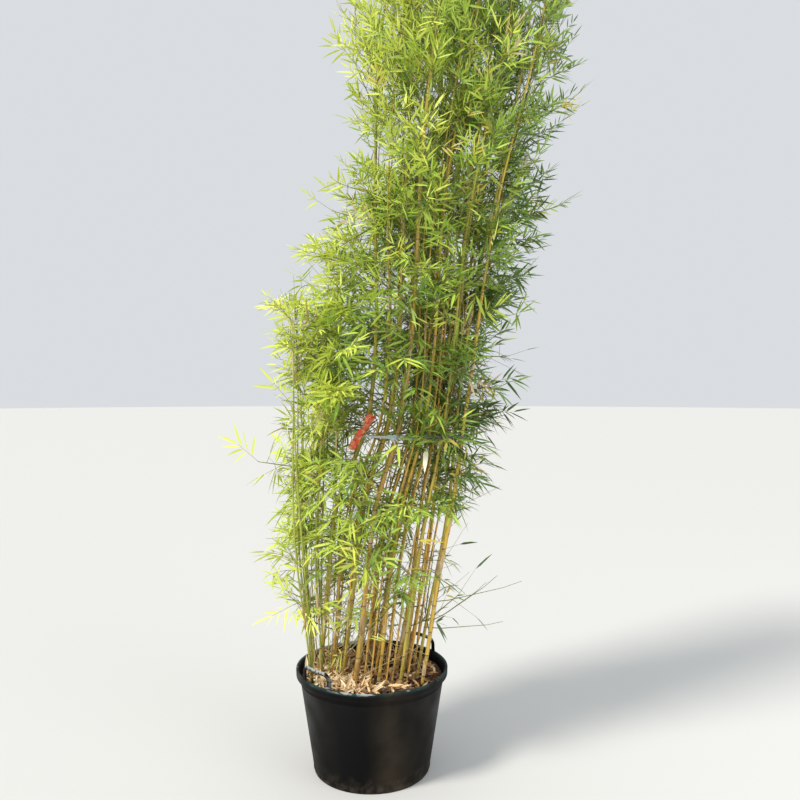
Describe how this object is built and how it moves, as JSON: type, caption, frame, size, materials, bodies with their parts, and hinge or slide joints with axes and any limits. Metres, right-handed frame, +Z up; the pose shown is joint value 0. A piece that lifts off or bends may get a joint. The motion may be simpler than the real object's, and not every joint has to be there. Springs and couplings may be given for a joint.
{
  "type": "potted bamboo",
  "caption": "Tall clump of golden bamboo canes with narrow green leaves, leaning to one side, tied half way up, in a round black nursery tub with strap handles.",
  "frame": {"origin": "middle of the tub's flat underside, on the ground", "axes": "+Z up, -Y towards the front as pictured, +X to the right of someone looking at the front, which is the side that the clump leans to"},
  "size_m": [1.4341, 0.9042, 3.897],
  "materials": {
    "tub": "satin black polypropylene, scuffed and dusty, with a paler worn rim",
    "soil": "dark crumbly potting mix under a litter of dry tan leaves",
    "cane": "satin golden canes with pale rings at the joints and brown papery sheaths",
    "shoot": "satin green-gold young shoots",
    "leaf": "thin satin leaves, yellow-green in the sun and mid green in the shade",
    "ribbon": "creased satin red plastic ribbon",
    "tie": "dull pale blue-grey plastic tape"
  },
  "bodies": {
    "root": {"cane_01": "cane", "cane_02": "cane", "cane_03": "cane", "cane_04": "cane", "cane_05": "cane", "cane_06": "cane", "cane_07": "cane", "cane_08": "cane", "cane_09": "cane", "cane_10": "cane", "cane_11": "cane", "cane_12": "cane", "cane_13": "cane", "cane_14": "cane", "cane_15": "cane", "cane_16": "cane", "cane_17": "cane", "cane_18": "cane", "handle_left": "tub", "handle_right": "tub", "leaves_back_1": "leaf", "leaves_back_2": "leaf", "leaves_back_3": "leaf", "leaves_back_4": "leaf", "leaves_back_5": "leaf", "leaves_back_6": "leaf", "leaves_back_7": "leaf", "leaves_front_1": "leaf", "leaves_front_2": "leaf", "leaves_front_3": "leaf", "leaves_front_4": "leaf", "leaves_front_5": "leaf", "leaves_front_6": "leaf", "leaves_front_7": "leaf", "leaves_left_1": "leaf", "leaves_left_2": "leaf", "leaves_left_3": "leaf", "leaves_left_4": "leaf", "leaves_left_5": "leaf", "leaves_left_6": "leaf", "leaves_left_7": "leaf", "leaves_right_1": "leaf", "leaves_right_2": "leaf", "leaves_right_3": "leaf", "leaves_right_4": "leaf", "leaves_right_5": "leaf", "leaves_right_6": "leaf", "leaves_right_7": "leaf", "marker_ribbon": "ribbon", "pot": "tub", "shoot_1": "shoot", "shoot_2": "shoot", "shoot_3": "shoot", "shoot_4": "shoot", "shoot_5": "shoot", "shoot_6": "shoot", "soil": "soil", "tie_band": "tie"}
  },
  "joints": []
}
